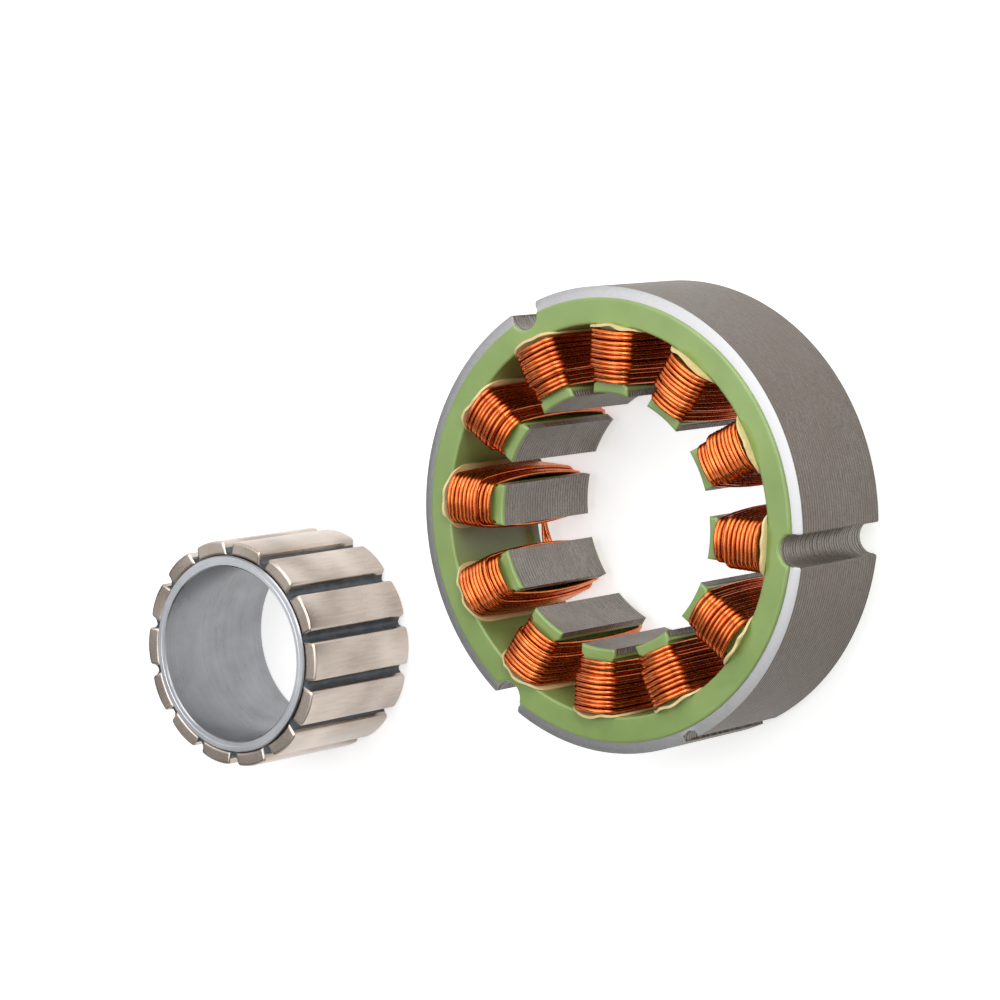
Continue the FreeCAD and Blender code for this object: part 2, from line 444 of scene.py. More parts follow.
def length(tree, vector):
    return node(tree, "ShaderNodeVectorMath", {0: vector}, operation="LENGTH").outputs["Value"]


def bump(tree, principled, height, strength, distance):
    made = node(tree, "ShaderNodeBump", {"Height": height, "Strength": strength, "Distance": distance})
    tree.links.new(made.outputs["Normal"], principled.inputs["Normal"])


STAIN = (0.15, 0.115, 0.085)
SEAM_DARK = (0.045, 0.04, 0.036)
SHEET_NOISE_STEP = 0.0137


def lamination_material(name, dark, light, roughness):
    """Sheet edges: a dark line between each two sheets, and dashes along each sheet's own edge."""
    material, tree, principled = shader(name, Metallic=0.8, Roughness=roughness)
    place = object_coordinates(tree)
    split = node(tree, "ShaderNodeSeparateXYZ", {"Vector": place})
    level = maths(tree, "DIVIDE", split.outputs["Z"], SHEET_T * MM)
    sheet = maths(tree, "FLOOR", maths(tree, "ADD", level, 0.5))
    from_line = maths(tree, "ABSOLUTE", maths(tree, "SUBTRACT", maths(tree, "FRACT", level), 0.5))
    seam = spread(tree, from_line, 0.0, 1.0, from_low=0.0, from_high=0.2)
    own_height = maths(tree, "MULTIPLY", sheet, SHEET_NOISE_STEP)
    own = node(tree, "ShaderNodeCombineXYZ",
               {"X": split.outputs["X"], "Y": split.outputs["Y"], "Z": own_height}).outputs["Vector"]
    dashes = noise_fac(tree, own, scale=900.0, roughness=0.6)
    speck = noise_fac(tree, place, scale=5200.0, roughness=0.7)
    blotch = noise_fac(tree, place, scale=130.0)
    tone = maths(tree, "ADD", maths(tree, "MULTIPLY", dashes, 0.3), maths(tree, "MULTIPLY", speck, 0.7))
    colour = ramp(tree, tone, (0.3, dark), (0.7, light))
    colour = mix(tree, spread(tree, blotch, 0.0, 0.45), colour, STAIN)
    gap = maths(tree, "MULTIPLY", maths(tree, "SUBTRACT", 1.0, seam), spread(tree, dashes, 0.45, 0.85))
    colour = mix(tree, gap, colour, SEAM_DARK)
    tree.links.new(colour, principled.inputs["Base Color"])
    tree.links.new(spread(tree, speck, roughness - 0.08, roughness + 0.14), principled.inputs["Roughness"])
    height = maths(tree, "ADD", maths(tree, "MULTIPLY", speck, 0.4), maths(tree, "MULTIPLY", seam, 0.8))
    bump(tree, principled, height, strength=0.5, distance=0.04 * MM)
    return material


def bright_steel_material():
    """Machined steel on the bevels and the stack's ends: pale and satin."""
    material, tree, principled = shader("machined_steel", Metallic=1.0, Roughness=0.42)
    place = object_coordinates(tree)
    grain = noise_fac(tree, place, scale=3000.0, detail=4.0, roughness=0.7)
    colour = ramp(tree, grain, (0.3, (0.36, 0.36, 0.365)), (0.7, (0.42, 0.42, 0.43)))
    tree.links.new(colour, principled.inputs["Base Color"])
    tree.links.new(spread(tree, grain, 0.38, 0.48), principled.inputs["Roughness"])
    bump(tree, principled, grain, strength=0.08, distance=0.01 * MM)
    return material


def coat_material():
    """Green powder coat: glossy, with a fine orange peel."""
    material, tree, principled = shader("powder_coat", Roughness=0.34, Coat_Weight=0.35, Coat_Roughness=0.18)
    place = object_coordinates(tree)
    peel = noise_fac(tree, place, scale=900.0, detail=2.0, roughness=0.5)
    cloud = noise_fac(tree, place, scale=140.0)
    colour = ramp(tree, cloud, (0.3, (0.225, 0.335, 0.09)), (0.7, (0.28, 0.405, 0.125)))
    tree.links.new(colour, principled.inputs["Base Color"])
    tree.links.new(spread(tree, peel, 0.28, 0.44), principled.inputs["Roughness"])
    bump(tree, principled, peel, strength=0.22, distance=0.04 * MM)
    return material


def copper_material():
    """Copper under a clear amber enamel."""
    material, tree, principled = shader("enamelled_copper", Metallic=1.0, Roughness=0.22, Coat_Weight=0.5,
                                        Coat_Roughness=0.12, Coat_Tint=(1.0, 0.55, 0.28, 1.0))
    place = object_coordinates(tree)
    strand = noise_fac(tree, place, scale=500.0)
    fleck = noise_fac(tree, place, scale=2500.0, detail=2.0)
    colour = ramp(tree, strand, (0.3, (0.48, 0.125, 0.026)), (0.55, (0.67, 0.205, 0.041)),
                  (0.75, (0.82, 0.31, 0.07)))
    tree.links.new(colour, principled.inputs["Base Color"])
    tree.links.new(spread(tree, fleck, 0.18, 0.32), principled.inputs["Roughness"])
    bump(tree, principled, fleck, strength=0.1, distance=0.006 * MM)
    return material


def paper_material():
    """Cream fibre paper."""
    material, tree, principled = shader("insulating_paper", Roughness=0.75)
    place = object_coordinates(tree)
    along = stretched(tree, place, (1.0, 1.0, 0.35))
    fibre = noise_fac(tree, along, scale=2600.0, detail=4.0, roughness=0.65)
    cloud = noise_fac(tree, place, scale=260.0, detail=2.0)
    cream = ramp(tree, fibre, (0.3, (0.80, 0.64, 0.30)), (0.7, (0.90, 0.78, 0.45)))
    colour = mix(tree, spread(tree, cloud, 0.0, 0.6), cream, (0.74, 0.55, 0.22))
    tree.links.new(colour, principled.inputs["Base Color"])
    bump(tree, principled, fibre, strength=0.4, distance=0.03 * MM)
    return material


def about_rotor(tree, vector):
    """Coordinates measured from the rotor's own axis."""
    shift = (-ROTOR_X * MM, -ROTOR_Y * MM, 0.0)
    return node(tree, "ShaderNodeMapping", {"Vector": vector, "Location": shift}).outputs["Vector"]


TURNING_SQUEEZE = 9.0


def turned_steel_material(name, dark, light, roughness):
    """Turned steel: fine marks that follow the ring round."""
    material, tree, principled = shader(name, Metallic=1.0, Roughness=roughness)
    place = about_rotor(tree, object_coordinates(tree))
    split = node(tree, "ShaderNodeSeparateXYZ", {"Vector": place})
    flat = node(tree, "ShaderNodeCombineXYZ", {"X": split.outputs["X"], "Y": split.outputs["Y"]})
    radius = length(tree, flat.outputs["Vector"])
    across = maths(tree, "MULTIPLY", radius, TURNING_SQUEEZE)
    up = maths(tree, "MULTIPLY", split.outputs["Z"], TURNING_SQUEEZE)
    lines = node(tree, "ShaderNodeCombineXYZ", {"X": across, "Z": up})
    grain = noise_fac(tree, lines.outputs["Vector"], scale=700.0, roughness=0.6)
    cloud = noise_fac(tree, place, scale=180.0)
    tone = maths(tree, "ADD", maths(tree, "MULTIPLY", grain, 0.35), maths(tree, "MULTIPLY", cloud, 0.65))
    tree.links.new(ramp(tree, tone, (0.3, dark), (0.7, light)), principled.inputs["Base Color"])
    tree.links.new(spread(tree, tone, roughness - 0.06, roughness + 0.1), principled.inputs["Roughness"])
    bump(tree, principled, grain, strength=0.25, distance=0.012 * MM)
    return material


def magnet_material():
    """Plating with a grain along the magnet and slow clouds of tone."""
    material, tree, principled = shader("nickel_plating", Metallic=1.0, Roughness=0.3)
    place = object_coordinates(tree)
    along = stretched(tree, place, (1.0, 1.0, 0.12))
    grain = noise_fac(tree, along, scale=2600.0, detail=4.0, roughness=0.65)
    cloud = noise_fac(tree, place, scale=110.0, detail=1.0)
    tone = maths(tree, "ADD", maths(tree, "MULTIPLY", grain, 0.25), maths(tree, "MULTIPLY", cloud, 0.75))
    colour = ramp(tree, tone, (0.35, (0.36, 0.30, 0.255)), (0.65, (0.62, 0.54, 0.475)))
    tree.links.new(colour, principled.inputs["Base Color"])
    tree.links.new(spread(tree, tone, 0.20, 0.36), principled.inputs["Roughness"])
    bump(tree, principled, grain, strength=0.2, distance=0.012 * MM)
    return material


def glue_material():
    """Dark adhesive."""
    material, tree, principled = shader("magnet_adhesive", Roughness=0.42)
    place = object_coordinates(tree)
    lump = noise_fac(tree, place, scale=600.0)
    colour = ramp(tree, lump, (0.3, (0.035, 0.045, 0.055)), (0.7, (0.085, 0.10, 0.115)))
    tree.links.new(colour, principled.inputs["Base Color"])
    tree.links.new(spread(tree, lump, 0.3, 0.55), principled.inputs["Roughness"])
    bump(tree, principled, lump, strength=0.5, distance=0.05 * MM)
    return material


# One lamination steel in two brightnesses: the darker copy, on the stack's outside between the bevels, is
# painted shade
STEEL = lamination_material("lamination_steel", (0.13, 0.118, 0.108), (0.45, 0.415, 0.385), 0.44)
PAINTED_SHADE_OUTSIDE = lamination_material("stack_outside_painted_shade", (0.08, 0.069, 0.06), (0.265, 0.235, 0.21), 0.44)
BRIGHT = bright_steel_material()
COAT = coat_material()
COPPER = copper_material()
PAPER = paper_material()
# The bore's copy of the turned steel is about half as bright as the face's: painted shade inside the bore,
# over the real turned marks
SHADED_BORE = turned_steel_material("brushed_bore_painted_shade", (0.24, 0.24, 0.25), (0.40, 0.405, 0.42), 0.28)
FACE = turned_steel_material("turned_face", (0.62, 0.64, 0.68), (0.80, 0.82, 0.86), 0.3)
NICKEL = magnet_material()
GLUE = glue_material()


# Stator

# How deep the stack's seams are, how wide, and how far the sheets stand out of line
SHEET_GROOVE = 0.035
TIP_GROOVE = 0.045
ROUGH_GROOVE = 0.14
SHEET_EDGE = 0.07
SHEET_SHIFT = 0.06

# Nearer the axis than the first a point lies in a groove, and further out than the second on a tooth's side
OUTSIDE_LIMIT = STATOR_R - KEY_LIP
TIP_LIMIT = BORE_R + 0.05


def stack_levels():
    """Heights of the rings of points up the stack, and which of them lie in a seam."""
    levels = [(-HALF_STACK, 0.0)]
    for i in range(SHEETS):
        low = -HALF_STACK + i * SHEET_T
        if i > 0:
            levels.append((low, 1.0))
            levels.append((low + SHEET_EDGE, 0.0))
        if i < SHEETS - 1:
            levels.append((low + SHEET_T - SHEET_EDGE, 0.0))
    levels.append((HALF_STACK, 0.0))
    return levels


def bevelled(loop, z):
    """Pulls the outside in where the stack's end is bevelled."""
    depth = BEVEL_H - (HALF_STACK - abs(z))
    limit = STATOR_R - BEVEL_W * max(0.0, depth) / BEVEL_H
    out = []
    for x, y in loop:
        radius = math.hypot(x, y)
        k = min(1.0, limit / radius)
        out.append((x * k, y * k))
    return out


def make_core():
    """The stack: in its grooves and on its teeth's sides the sheets don't line up, and the seams are deep."""
    rng = random.Random(CORE_SEED)
    bm = bmesh.new()
    outer = core_outer()
    outer_norms = normals(outer)
    inner, bare = inner_outline(YOKE_R, 0.0)
    inner_norms = normals(inner)
    outer_depth = [ROUGH_GROOVE if math.hypot(x, y) < OUTSIDE_LIMIT else SHEET_GROOVE for x, y in outer]
    inner_depth = []
    for (x, y), is_bare in zip(inner, bare):
        on_side = is_bare and math.hypot(x, y) > TIP_LIMIT
        inner_depth.append(ROUGH_GROOVE if on_side else TIP_GROOVE if is_bare else 0.0)
    levels = stack_levels()
    levels.insert(1, (-HALF_STACK + BEVEL_H, 0.0))
    levels.insert(-1, (HALF_STACK - BEVEL_H, 0.0))
    outer_rings = []
    inner_rings = []
    shift = 0.0
    for z, seam in levels:
        if seam:
            shift = rng.uniform(0.0, SHEET_SHIFT)
        back = [seam * d + (shift if d == ROUGH_GROOVE else 0.0) for d in outer_depth]
        outer_rings.append(add_ring(bm, bevelled(offset_loop(outer, outer_norms, back), z), z))
        back = [-seam * d - (shift if d == ROUGH_GROOVE else 0.0) for d in inner_depth]
        inner_rings.append(add_ring(bm, offset_loop(inner, inner_norms, back), z))
    last = len(levels) - 2
    # The third material is the darker copy of the steel, on the outside: painted shade
    sheet_edges, machined, outside = range(3)
    for i in range(len(levels) - 1):
        on_bevel = i == 0 or i == last
        for face in join_rings(bm, outer_rings[i], outer_rings[i + 1]):
            reach = max(math.hypot(v.co.x, v.co.y) for v in face.verts)
            if reach > OUTSIDE_LIMIT * MM:
                face.material_index = machined if on_bevel else outside
            else:
                face.material_index = sheet_edges
        join_rings(bm, inner_rings[i], inner_rings[i + 1], flip=True)
    fill_between(bm, outer_rings[-1], inner_rings[-1], True, machined)
    fill_between(bm, outer_rings[0], inner_rings[0], False, machined)
    obj = new_object("laminated_stack", bm, "stator", [STEEL, BRIGHT, PAINTED_SHADE_OUTSIDE], sharp=22)
    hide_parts("stator_core")


def make_coat():
    """Rounded end plates and slot walls: where the steel is bare the wall runs inside it."""
    bm = bmesh.new()
    outer = coat_outer()
    outer_norms = normals(outer)
    inner, bare = inner_outline(YOKE_R - COAT_T, COAT_T)
    inner_norms = normals(inner)
    profile = rounded_edge(COAT_EDGE_R, 4)
    flat = COAT_EDGE_R + COAT_RIM
    sunk = [-COAT_HIDDEN if is_bare else 0.0 for is_bare in bare]
    rings = []
    for sign in (-1, 1):
        rows = [(offset_loop(inner, inner_norms, sunk), HALF_STACK - COAT_STEP_H), (inner, HALF_STACK)]
        for back, down in profile:
            rows.append((offset_loop(inner, inner_norms, -back), HALF_COAT - down))
        rows.append((offset_loop(inner, inner_norms, -flat), HALF_COAT))
        inner_rings = [add_ring(bm, loop, sign * z) for loop, z in rows]
        outer_rings = [add_ring(bm, outer, sign * HALF_STACK)]
        for back, down in profile:
            outer_rings.append(add_ring(bm, offset_loop(outer, outer_norms, back), sign * (HALF_COAT - down)))
        outer_rings.append(add_ring(bm, offset_loop(outer, outer_norms, flat), sign * HALF_COAT))
        for i in range(len(inner_rings) - 1):
            join_rings(bm, inner_rings[i], inner_rings[i + 1], flip=sign > 0)
        for i in range(len(outer_rings) - 1):
            join_rings(bm, outer_rings[i], outer_rings[i + 1], flip=sign < 0)
        fill_between(bm, outer_rings[-1], inner_rings[-1], sign > 0)
        rings.append((inner_rings[0], outer_rings[0]))
    join_rings(bm, rings[0][0], rings[1][0], flip=True)
    within = offset_loop(outer, outer_norms, COAT_HIDDEN)
    sunk_outer = [add_ring(bm, within, sign * (HALF_STACK - COAT_HIDDEN_H)) for sign in (-1, 1)]
    join_rings(bm, rings[0][1], sunk_outer[0])
    join_rings(bm, sunk_outer[0], sunk_outer[1])
    join_rings(bm, sunk_outer[1], rings[1][1])
    bmesh.ops.recalc_face_normals(bm, faces=bm.faces)
    obj = new_object("epoxy_coat", bm, "stator", [COAT], sharp=40)
    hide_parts("insulation_coat")


def tube(bm, path, radius, sides, start_side):
    """A round wire along a list of points, closed at both ends."""
    rings = []
    side = start_side.normalized()
    for i, point in enumerate(path):
        before = path[max(0, i - 1)]
        after = path[min(len(path) - 1, i + 1)]
        tangent = (after - before).normalized()
        side = (side - tangent * side.dot(tangent)).normalized()
        up = tangent.cross(side)
        rings.append([bm.verts.new((point + side * (radius * math.cos(TAU * k / sides))
                                    + up * (radius * math.sin(TAU * k / sides))) * MM) for k in range(sides)])
    for lower, upper in zip(rings, rings[1:]):
        for k in range(sides):
            m = (k + 1) % sides
            bm.faces.new((lower[k], lower[m], upper[m], upper[k]))
    bm.faces.new(list(reversed(rings[0])))
    bm.faces.new(rings[-1])


def turn_stops():
    """The stops of one turn about a tooth: (part of the turn, share along it)."""
    stops = []
    for part, count in (("back", 4), ("corner_a", 6), ("side_a", 8), ("corner_b", 6), ("front", 8),
                        ("corner_c", 6), ("side_b", 8), ("corner_d", 6), ("back_end", 4)):
        stops += [(part, i / count) for i in range(count)]
    return stops


# The heads of a turn: from and to which share of the swing, and at which end of the stack
HEADS = {"back": (0.0, 1.0, -1), "front": (1.0, -1.0, 1), "back_end": (-1.0, 0.0, -1)}

# The corners of a turn: on which side of the tooth, and at which end of the stack
CORNERS = {"corner_a": (1, -1), "corner_b": (1, 1), "corner_c": (-1, 1), "corner_d": (-1, -1)}

# How a turn bows out between its corners, where it steps to the next one, and how unevenly the turns lie
BOW_FULLNESS = 0.8
BOW_AT_START = 0.62
BOW_LOSS = 0.4
STEP_START = 0.78
COIL_SLANT = 0.25
TURN_SLANT = 0.2
TURN_DRIFT = 0.14
TURN_SINK = 0.05


def turn_place(part, share, lift, bow):
    """Where a wire lies about the tooth, in the plane across it, at a height above the coil's inside."""
    if part in HEADS:
        begin, finish, end = HEADS[part]
        crown = CROWN_R + lift
        a = CROWN_SWING * (begin + (finish - begin) * share)
        return crown * math.sin(a), end * (CROWN_Z + crown * math.cos(a))
    if part in CORNERS:
        side, end = CORNERS[part]
        from_head = side != end
        opened = share if from_head else 1 - share
        corner = CORNER_R + lift
        a = CROWN_SWING + (math.pi / 2 - CROWN_SWING) * opened
        return side * (CORNER_Y + corner * math.sin(a)), end * (CORNER_Z + corner * math.cos(a))
    y = COIL_HALF_W + lift + bow * math.sin(math.pi * share) ** BOW_FULLNESS
    if part == "side_a":
        return y, CORNER_Z * (2 * share - 1)
    return -y, CORNER_Z * (1 - 2 * share)


def make_coil(number):
    """One wire wound out along the tooth and back over itself, with turns that drift, slant and sag."""
    rng = random.Random(COIL_SEED + number)
    low_lift = WIRE_D / 2
    high_lift = WIRE_D / 2 + WIRE_D * math.sqrt(3) / 2 - NESTING
    turns = [(i + 0.5, low_lift) for i in range(TURNS)]
    turns += [(TURNS - j - 0.5, high_lift) for j in range(TURNS - SINGLE_TURNS)]
    stops = turn_stops()
    path = []
    slant = rng.uniform(-COIL_SLANT, COIL_SLANT)
    for k, (place, lift) in enumerate(turns):
        next_place, next_lift = turns[min(k + 1, len(turns) - 1)]
        drift = rng.uniform(-TURN_DRIFT, TURN_DRIFT)
        sink = rng.uniform(0.0, TURN_SINK)
        lean = slant + rng.uniform(-TURN_SLANT, TURN_SLANT)
        for n, (part, share) in enumerate(stops):
            s = n / len(stops)
            step = max(0.0, min(1.0, (s - STEP_START) / (1 - STEP_START)))
            step = step * step * (3 - 2 * step)
            swell = math.sin(math.pi * s)
            wobble = swell * (drift + lean / 2 * math.sin(TAU * (s - 0.5)))
            along = place + (next_place - place) * step + wobble
            along = min(max(along, 0.5), TURNS - 0.5)
            height = lift + (next_lift - lift) * step - sink * swell
            bow = BOW_AT_START - BOW_LOSS * along / TURNS
            y, z = turn_place(part, share, height, bow)
            path.append(Vector((COIL_START + along * WIRE_D, y, z)))
    spin = Matrix.Rotation(TAU * (number - 1) / TEETH, 3, "Z")
    path = [spin @ p for p in path]
    bm = bmesh.new()
    tube(bm, path, STRAND_R, sides=10, start_side=spin @ Vector((1, 0, 0)))
    obj = new_object("winding_%02d" % number, bm, "stator", [COPPER], sharp=60)
    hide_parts("coil_%02d" % number)


def make_links(number):
    """Two wires from one coil to the next, behind the stack, with their ends tucked against the coils."""
    rng = random.Random(LINK_SEED + number)
    bm = bmesh.new()
    half_pitch = math.pi / TEETH
    across = COIL_HALF_W + WIRE_D * (1 + math.sqrt(3) / 2) - LINK_TUCK
    spin = Matrix.Rotation(math.radians(LINK_PITCH * (number - 1) + LINK_ANGLE), 3, "Z")
    for wire in range(2):
        along = COIL_START + (LINK_TURN + wire + 0.5) * WIRE_D
        x = along * math.cos(half_pitch) + across * math.sin(half_pitch)
        y = along * math.sin(half_pitch) - across * math.cos(half_pitch)
        droop = rng.uniform(*LINK_DROOP)
        twist = rng.uniform(*LINK_TWIST) * (1 - 2 * wire)
        points = []
        for i in range(LINK_STEPS + 1):
            t = i / LINK_STEPS
            swell = math.sin(math.pi * t)
            out = x + LINK_SWELL * swell + twist * math.sin(TAU * t)
            points.append(spin @ Vector((out, y * (2 * t - 1), -CORNER_Z - droop * swell)))
        tube(bm, points, WIRE_D / 2, sides=12, start_side=spin @ Vector((1, 0, 0)))
    obj = new_object("link_wires_%d" % number, bm, "stator", [COPPER], sharp=60)
    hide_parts("coil_link_%d" % number)


def paper_point(a, z, rear, phase, number):
    """A point of the paper, from its angle and height on an even grid.

    The ends are rounded, wavy and leaning. The numbers in the noise only pick different stretches of it."""
    wave = noise.noise(Vector((a * 13.0 + phase, number * 3.1, 1.5 if z > 0 else 7.7)))
    fold = noise.noise(Vector((a * 11.0 + phase, number * 1.7, 3.3 if z > 0 else 9.9)))
    past = max(0.0, abs(a) * PAPER_R - (PAPER_SPAN / 2 - PAPER_CORNER_R))
    top = PAPER_TOP - PAPER_CORNER_R + math.sqrt(max(0.0, PAPER_CORNER_R ** 2 - past ** 2))
    top -= EDGE_DROP + EDGE_WAVE * abs(wave)
    share = max(0.0, abs(z) - PAPER_STRAIGHT) / (PAPER_TOP - PAPER_STRAIGHT)
    height = math.copysign(min(abs(z), PAPER_STRAIGHT) + (top - PAPER_STRAIGHT) * share, z)
    beyond = min(1.0, max(0.0, abs(height) - HALF_COAT + LEAN_START) / LEAN_RISE)
    lean = beyond * (LEAN_OUT + LEAN_FOLD * fold)
    radius = PAPER_R - PAPER_T * (1 - rear) + lean + PAPER_FLARE * beyond * rear
    return radius * math.cos(a) * MM, radius * math.sin(a) * MM, height * MM


def make_paper(number):
    """A collar of thin paper round the tooth, with uneven edges that stand above the coat."""
    rng = random.Random(PAPER_SEED + number)
    phase = rng.uniform(0, 50)
    half_span = math.asin(PAPER_SPAN / 2 / PAPER_R)
    hole_half = math.asin((TOOTH_W / 2 + COAT_T + HOLE_MARGIN) / PAPER_R)
    flank = [half_span - (half_span - hole_half) * (i / 10) ** COLUMN_CROWDING for i in range(10)]
    columns = [-a for a in flank]
    columns += [-hole_half + 2 * hole_half * i / 20 for i in range(21)]
    columns += list(reversed(flank))
    upper = [HOLE_TOP + (PAPER_TOP - HOLE_TOP) * i / 5 for i in range(6)]
    lower = [-z for z in reversed(upper)]
    rows = lower + [-HOLE_TOP + 2 * HOLE_TOP * (i + 1) / 9 for i in range(8)] + upper
    bm = bmesh.new()
    front, rear = [[[bm.verts.new(paper_point(a, z, side, phase, number)) for a in columns] for z in rows]
                   for side in (0.0, 1.0)]
    row_in_hole = [abs(low + high) / 2 < HOLE_TOP for low, high in zip(rows, rows[1:])]
    column_in_hole = [abs(low + high) / 2 < hole_half for low, high in zip(columns, columns[1:])]
    cells = [(i, j) for i in range(len(rows) - 1) for j in range(len(columns) - 1)
             if not (row_in_hole[i] and column_in_hole[j])]
    kept = set(cells)
    for i, j in cells:
        bm.faces.new((front[i][j], front[i + 1][j], front[i + 1][j + 1], front[i][j + 1]))
        bm.faces.new((rear[i][j], rear[i][j + 1], rear[i + 1][j + 1], rear[i + 1][j]))
        edges = {(i - 1, j): ((i, j), (i, j + 1)), (i + 1, j): ((i + 1, j + 1), (i + 1, j)),
                 (i, j - 1): ((i + 1, j), (i, j)), (i, j + 1): ((i, j + 1), (i + 1, j + 1))}
        for neighbour, ((ai, aj), (bi, bj)) in edges.items():
            if neighbour not in kept:
                bm.faces.new((front[ai][aj], front[bi][bj], rear[bi][bj], rear[ai][aj]))
    spin = Matrix.Rotation(TAU * (number - 1) / TEETH, 3, "Z")
    bmesh.ops.rotate(bm, verts=bm.verts, cent=(0, 0, 0), matrix=spin)
    loose = [v for v in bm.verts if not v.link_faces]
    bmesh.ops.delete(bm, geom=loose, context="VERTS")
    bmesh.ops.recalc_face_normals(bm, faces=bm.faces)
    obj = new_object("paper_collar_%02d" % number, bm, "stator", [PAPER], sharp=50)
    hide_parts("slot_paper_%02d" % number)


# Rotor

def place_on_rotor(bm, degrees=0.0):
    """Turns a mesh about the Z axis and moves it from there to the rotor's place."""
    spin = Matrix.Rotation(math.radians(degrees), 3, "Z")
    bmesh.ops.rotate(bm, verts=bm.verts, cent=(0, 0, 0), matrix=spin)
    bmesh.ops.translate(bm, verts=bm.verts, vec=Vector((ROTOR_X, ROTOR_Y, ROTOR_Z)) * MM)


def make_ring():
    """The steel ring: chamfered edges, and a fine turned line in each face."""
    half = RING_L / 2
    chamfer_z = half - RING_CHAMFER_H
    line_r = RING_BORE_R + RING_LINE
    outline = [(RING_BORE_R, chamfer_z), (RING_BORE_R + RING_CHAMFER, half), (RING_BORE_R + RING_FLAT, half),
               (line_r - LINE_HALF_W, half), (line_r, half - LINE_DEPTH), (line_r + LINE_HALF_W, half),
               (RING_R - RING_FLAT, half), (RING_R - RING_CHAMFER, half), (RING_R, chamfer_z)]
    outline += [(r, -z) for r, z in reversed(outline)]
    bm = bmesh.new()
    segments = 240
    rings = [add_ring(bm, [polar(r, TAU * k / segments) for k in range(segments)], z) for r, z in outline]
    turned, face = range(2)
    for i in range(len(rings)):
        j = (i + 1) % len(rings)
        on_face = min(abs(outline[i][1]), abs(outline[j][1])) > (half + chamfer_z) / 2
        join_rings(bm, rings[i], rings[j], face if on_face else turned)
    bmesh.ops.recalc_face_normals(bm, faces=bm.faces)
    place_on_rotor(bm)
    # The bore takes the darker copy of the steel, which is painted shade, and the faces take the pale one
    obj = new_object("rotor_sleeve", bm, "rotor", [SHADED_BORE, FACE], sharp=18)
    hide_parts("rotor_ring")


def rounded_corner(points, index, radius, count):
    """Swaps one corner of a closed outline for an arc."""
    before = Vector(points[index - 1])
    corner = Vector(points[index])
    after = Vector(points[(index + 1) % len(points)])
    u = (before - corner).normalized()
    v = (after - corner).normalized()
    half = math.acos(max(-1.0, min(1.0, u.dot(v)))) / 2
    reach = radius / math.tan(half)
    centre = corner + (u + v).normalized() * (radius / math.sin(half))
    start = corner + u * reach - centre
    end = corner + v * reach - centre
    sweep = start.angle_signed(end)
    out = []
    for i in range(count + 1):
        a = -sweep * i / count
        c, s = math.cos(a), math.sin(a)
        out.append((centre.x + start.x * c - start.y * s, centre.y + start.x * s + start.y * c))
    return out


def magnet_outline():
    """The loaf's section: a hollow foot, straight sides, rounded shoulders and a domed back."""
    half = MAGNET_W / 2
    foot_r = RING_R + BOND_T
    dome_x = MAGNET_R - MAGNET_CROWN_R
    foot_turn = math.asin(half / foot_r)
    dome_turn = math.asin(half / MAGNET_CROWN_R)
    shoulder = (dome_x + math.sqrt(MAGNET_CROWN_R ** 2 - half ** 2), -half)
    inset = dome_turn - SHOULDER_TURN
    foot = arc(0, 0, foot_r, foot_turn, -foot_turn, 10)
    dome = arc(dome_x, 0, MAGNET_CROWN_R, -inset, inset, 14)
    corner = rounded_corner([foot[-1], shoulder, dome[0]], 1, MAGNET_EDGE_R, 6)
    return foot + corner + dome + mirrored(corner)


def make_magnet(number):
    """One magnet with rounded ends, tilted a very little."""
    rng = random.Random(MAGNET_SEED + number)
    outline = magnet_outline()
    norms = normals(outline)
    half = MAGNET_L / 2
    steps = rounded_edge(MAGNET_END_R, 4) + [(MAGNET_END_R + MAGNET_END_RIM, 0.0)]
    upper = [(offset_loop(outline, norms, back), half - down) for back, down in steps]
    lower = [(loop, -z) for loop, z in reversed(upper)]
    bm = bmesh.new()
    rings = [add_ring(bm, loop, z) for loop, z in lower + upper]
    for below, above in zip(rings, rings[1:]):
        join_rings(bm, below, above)
    bm.faces.new(list(reversed(rings[0])))
    bm.faces.new(rings[-1])
    bmesh.ops.recalc_face_normals(bm, faces=bm.faces)
    tilt = Matrix.Rotation(rng.uniform(-MAGNET_TILT, MAGNET_TILT), 3, "Z")
    bmesh.ops.rotate(bm, verts=bm.verts, cent=(MAGNET_R * MM, 0, 0), matrix=tilt)
    place_on_rotor(bm, 360.0 * (number - 1) / MAGNETS)
    obj = new_object("magnet_block_%02d" % number, bm, "rotor", [NICKEL], sharp=40)
    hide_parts("magnet_%02d" % number)


def make_glue():
    """A dished bead of adhesive in each gap, uneven along its length."""
    bm = bmesh.new()
    rows = 60
    half = MAGNET_L / 2 - GLUE_END_GAP
    for i in range(MAGNETS):
        rings = []
        for row in range(rows + 1):
            z = -half + 2 * half * row / rows
            height = RING_R + GLUE_H + noise.noise(Vector((i * 3.7, z * 0.5, 0.0))) * GLUE_ROUGH
            magnet_foot = [(height, GLUE_OVERLAP - MAGNET_W / 2)]
            edge_x, edge_y = turn_points(magnet_foot, 180.0 / MAGNETS)[0]
            section = []
            for k in range(9):
                t = k / 4 - 1
                depth = GLUE_DIP + noise.noise(Vector((i * 1.3, z * 0.7, k * 0.4))) * GLUE_LUMPS
                section.append((edge_x - depth * (1 - t ** 2), edge_y * t))
            foot_turn = math.atan2(edge_y, edge_x)
            section += arc(0, 0, RING_R - GLUE_SUNK, foot_turn, -foot_turn, 4)
            turned = turn_points(section, 360.0 * (i + 0.5) / MAGNETS)
            rings.append(add_ring(bm, turned, z))
        for below, above in zip(rings, rings[1:]):
            join_rings(bm, below, above)
        bm.faces.new(list(reversed(rings[0])))
        bm.faces.new(rings[-1])
    bmesh.ops.recalc_face_normals(bm, faces=bm.faces)
    place_on_rotor(bm)
    obj = new_object("adhesive_beads", bm, "rotor", [GLUE], sharp=50)
    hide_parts("magnet_adhesive")


